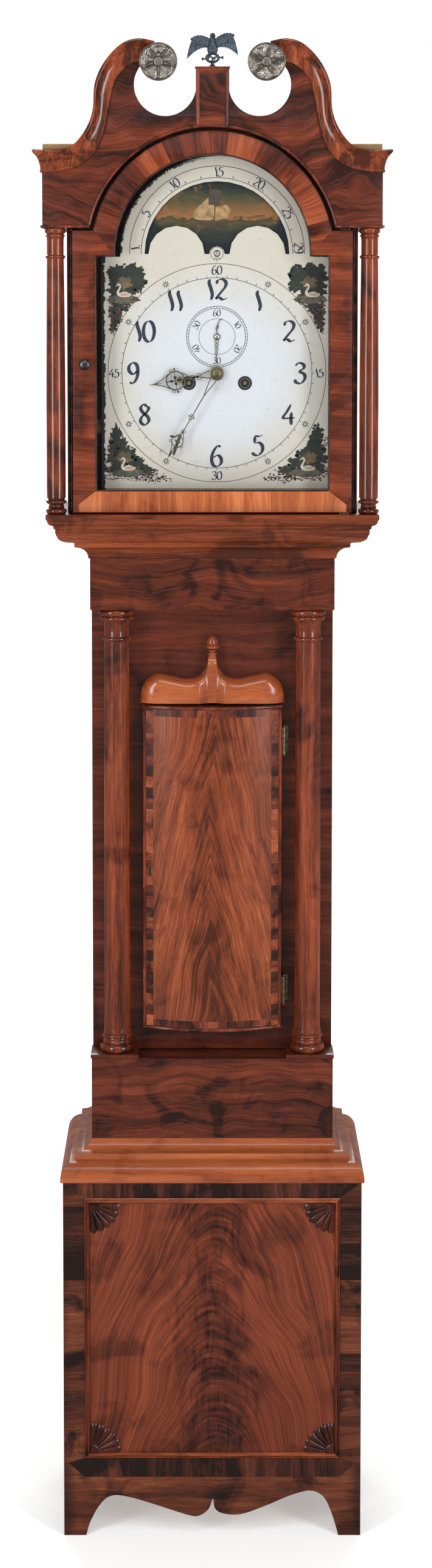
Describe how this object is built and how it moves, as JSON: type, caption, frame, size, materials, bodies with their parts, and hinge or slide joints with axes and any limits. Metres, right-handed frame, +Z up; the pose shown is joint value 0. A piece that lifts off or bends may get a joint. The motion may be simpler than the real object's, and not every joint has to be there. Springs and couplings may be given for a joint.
{
  "type": "longcase clock",
  "caption": "Tall mahogany floor clock: swan-neck hood that slides off, glazed arched door, painted dial with moon disc, columned waist with bow door, panelled base.",
  "frame": {"origin": "centre of the clock's footprint on the floor, under the middle of its bounding box", "axes": "+Z up, the front faces -Y, +X to the right as seen from the front"},
  "size_m": [0.5334, 0.28, 2.3008],
  "materials": {
    "mahogany": "French-polished mahogany, satin",
    "dark_mahogany": "dark mahogany, worn polish",
    "light_mahogany": "lighter figured mahogany, polished",
    "pine": "raw softwood",
    "brass": "satin brass",
    "old_brass": "tarnished stamped brass",
    "bronze": "dark patinated bronze",
    "steel": "polished steel",
    "painted_iron": "aged white japanned paint",
    "moon_paint": "painted scene",
    "glass": "clear",
    "cast_iron": "cast",
    "gut": "twisted gut"
  },
  "bodies": {
    "case": {"base_front": "mahogany", "base_side_left": "dark_mahogany", "base_side_right": "dark_mahogany", "base_floor": "pine", "back_board": "pine", "base_moulding": "light_mahogany", "base_panel_frame": "dark_mahogany", "lower_frieze": "mahogany", "upper_frieze": "mahogany", "waist_board": "mahogany", "waist_side_left": "dark_mahogany", "waist_side_right": "dark_mahogany", "waist_column_left": "mahogany", "waist_column_right": "mahogany", "door_dome": "light_mahogany", "waist_moulding": "light_mahogany", "seat_board": "pine", "dial": "painted_iron", "movement_frame": "brass", "bell": "brass"},
    "waist_door": {"waist_door": "light_mahogany", "hinge_upper": "brass", "hinge_lower": "brass"},
    "lock_bolt": {"lock_bolt": "steel"},
    "hood": {"hood_base": "light_mahogany", "hood_side_left": "dark_mahogany", "hood_side_right": "dark_mahogany", "hood_front_frame": "dark_mahogany", "hood_roof": "pine", "tympanum": "mahogany", "swan_neck_left": "light_mahogany", "swan_neck_right": "light_mahogany", "rosette_left": "old_brass", "rosette_right": "old_brass", "finial_plinth": "mahogany", "eagle_finial": "bronze", "hood_column_left": "mahogany", "hood_column_right": "mahogany"},
    "hood_door": {"hood_door_frame": "mahogany", "hood_glass": "glass", "hood_door_knob": "bronze"},
    "minute_train": {"centre_wheel": "brass", "minute_hand": "old_brass"},
    "great_wheel": {"great_wheel": "brass"},
    "third_wheel": {"third_wheel": "brass"},
    "seconds_train": {"escape_wheel": "brass", "seconds_hand": "old_brass"},
    "minute_wheel": {"minute_wheel": "brass"},
    "hour_train": {"hour_wheel": "brass", "hour_hand": "old_brass"},
    "moon": {"moon_disc": "moon_paint"},
    "going_barrel": {"going_barrel": "brass"},
    "strike_barrel": {"strike_barrel": "brass"},
    "going_weight": {"going_weight": "cast_iron", "going_line": "gut"},
    "strike_weight": {"strike_weight": "cast_iron", "strike_line": "gut"},
    "hammer": {"hammer": "steel"},
    "anchor": {"anchor": "steel"},
    "pendulum": {"pendulum": "brass"}
  },
  "joints": [
    {"name": "hood_slide", "type": "slide", "parent": "case", "child": "hood", "axis": [0, -1, 0], "range_m": [0, 0.3]},
    {"name": "hood_door_hinge", "type": "hinge", "parent": "hood", "child": "hood_door", "pos_m": [0.203, -0.11, 1.7953], "axis": [0, 0, 1], "range_deg": [0, 120]},
    {"name": "waist_door_hinge", "type": "hinge", "parent": "case", "child": "waist_door", "pos_m": [0.1115, -0.0268, 1.03], "axis": [0, 0, 1], "range_deg": [0, 90]},
    {"name": "lock_bolt_throw", "type": "slide", "parent": "waist_door", "child": "lock_bolt", "axis": [-1, 0, 0], "range_m": [0, 0.008]},
    {"name": "minute_arbor", "type": "hinge", "parent": "case", "child": "minute_train", "pos_m": [0.0069, 0, 1.7953], "axis": [0, 1, 0], "continuous": true},
    {"name": "great_wheel_arbor", "type": "hinge", "parent": "case", "child": "great_wheel", "pos_m": [0.0492, 0, 1.7803], "axis": [0, 1, 0], "continuous": true},
    {"name": "third_wheel_arbor", "type": "hinge", "parent": "case", "child": "third_wheel", "pos_m": [0.0187, 0, 1.8255], "axis": [0, 1, 0], "continuous": true},
    {"name": "seconds_arbor", "type": "hinge", "parent": "case", "child": "seconds_train", "pos_m": [0.0069, 0, 1.85], "axis": [0, 1, 0], "continuous": true},
    {"name": "minute_wheel_stud", "type": "hinge", "parent": "case", "child": "minute_wheel", "pos_m": [-0.0171, 0, 1.7753], "axis": [0, 1, 0], "continuous": true},
    {"name": "hour_pipe", "type": "hinge", "parent": "case", "child": "hour_train", "pos_m": [0.0069, 0, 1.7953], "axis": [0, 1, 0], "continuous": true},
    {"name": "moon_stud", "type": "hinge", "parent": "case", "child": "moon", "pos_m": [0.0069, 0, 1.9743], "axis": [0, 1, 0], "continuous": true},
    {"name": "going_weight_fall", "type": "slide", "parent": "case", "child": "going_weight", "axis": [0, 0, 1], "range_m": [0, 1.1], "deforming": ["going_line"]},
    {"name": "strike_weight_fall", "type": "slide", "parent": "case", "child": "strike_weight", "axis": [0, 0, 1], "range_m": [0, 1.1], "deforming": ["strike_line"]},
    {"name": "going_barrel_arbor", "type": "hinge", "parent": "case", "child": "going_barrel", "pos_m": [0.0492, 0, 1.7803], "axis": [0, 1, 0], "range_deg": [0, 5365.9]},
    {"name": "strike_barrel_arbor", "type": "hinge", "parent": "case", "child": "strike_barrel", "pos_m": [-0.0354, 0, 1.7803], "axis": [0, 1, 0], "range_deg": [0, 5365.9]},
    {"name": "hammer_arbor", "type": "hinge", "parent": "case", "child": "hammer", "pos_m": [-0.0391, 0, 1.8473], "axis": [0, 1, 0], "range_deg": [-8, 0], "stiffness_Nm_per_rad": 0.12, "springref_deg": 14.32},
    {"name": "pendulum_swing", "type": "hinge", "parent": "case", "child": "pendulum", "pos_m": [0.0069, 0.085, 1.88], "axis": [0, 1, 0], "range_deg": [-3, 3]},
    {"name": "anchor_swing", "type": "hinge", "parent": "case", "child": "anchor", "pos_m": [0.0069, 0.05, 1.88], "axis": [0, 1, 0], "range_deg": [-3, 3]}
  ],
  "couplings": [
    {"joint": "great_wheel_arbor", "follows": "minute_arbor", "ratio": -0.083333},
    {"joint": "third_wheel_arbor", "follows": "minute_arbor", "ratio": -8},
    {"joint": "seconds_arbor", "follows": "minute_arbor", "ratio": 60},
    {"joint": "minute_wheel_stud", "follows": "minute_arbor", "ratio": -1},
    {"joint": "hour_pipe", "follows": "minute_arbor", "ratio": 0.083333},
    {"joint": "moon_stud", "follows": "minute_arbor", "ratio": 0.00070621},
    {"joint": "going_barrel_arbor", "follows": "going_weight_fall", "rad_per_m": 85.106},
    {"joint": "strike_barrel_arbor", "follows": "strike_weight_fall", "rad_per_m": 85.106},
    {"joint": "anchor_swing", "follows": "pendulum_swing", "ratio": 1}
  ]
}
